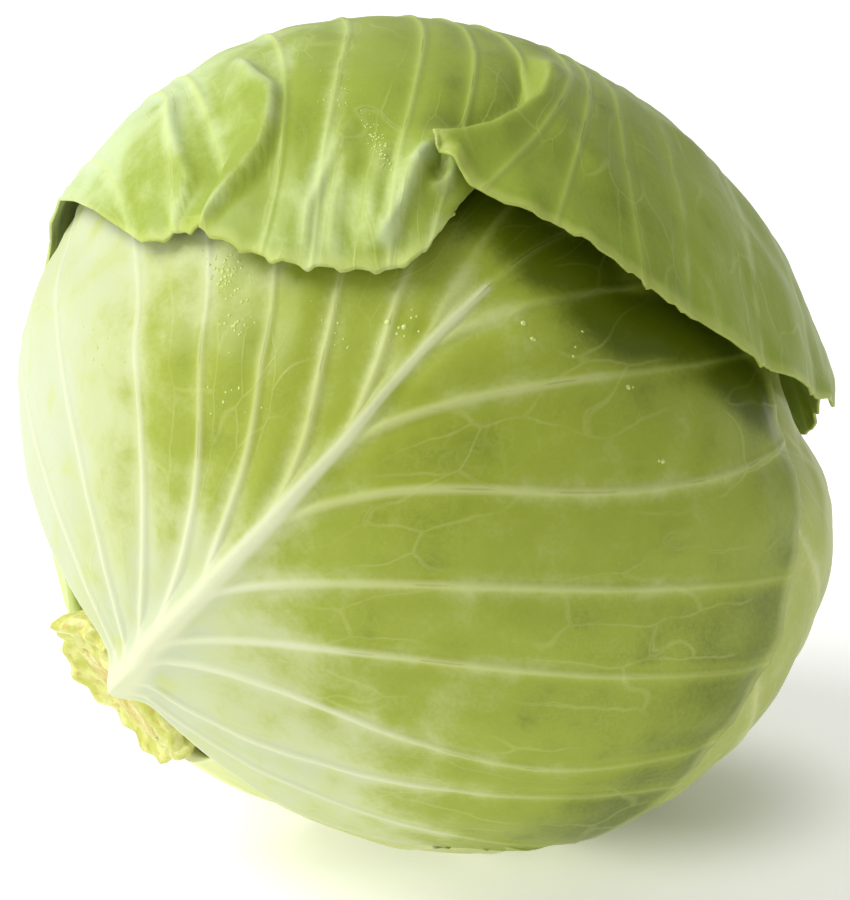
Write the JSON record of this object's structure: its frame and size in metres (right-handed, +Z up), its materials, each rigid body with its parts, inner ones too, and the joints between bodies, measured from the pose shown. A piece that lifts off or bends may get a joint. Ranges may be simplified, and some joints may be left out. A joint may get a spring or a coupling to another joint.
{
  "type": "cabbage head",
  "caption": "Round green cabbage head with overlapping ribbed wrapper leaves and a short cut stem, lying on its side on a small flat spot.",
  "frame": {"origin": "middle of the small flat spot that the head rests on", "axes": "+Z up; -Y towards the side that the front leaf faces; the cut stem points to -X, a little to -Y and down"},
  "size_m": [0.1783, 0.1896, 0.1826],
  "materials": {
    "green_leaf": "satin, waxy",
    "pale_wrapper_leaf": "satin, waxy",
    "pale_inner_leaf": "satin",
    "stem": "matt, fibrous",
    "leaf_base": "satin, waxy"
  },
  "bodies": {
    "root": {"heart": "pale_inner_leaf", "top_leaf": "green_leaf", "front_leaf": "green_leaf", "lower_leaf": "pale_wrapper_leaf", "left_leaf": "pale_wrapper_leaf", "right_leaf": "pale_wrapper_leaf", "back_leaf": "pale_wrapper_leaf", "cut_stem": "stem", "trimmed_leaf_bases": "leaf_base"}
  },
  "joints": []
}
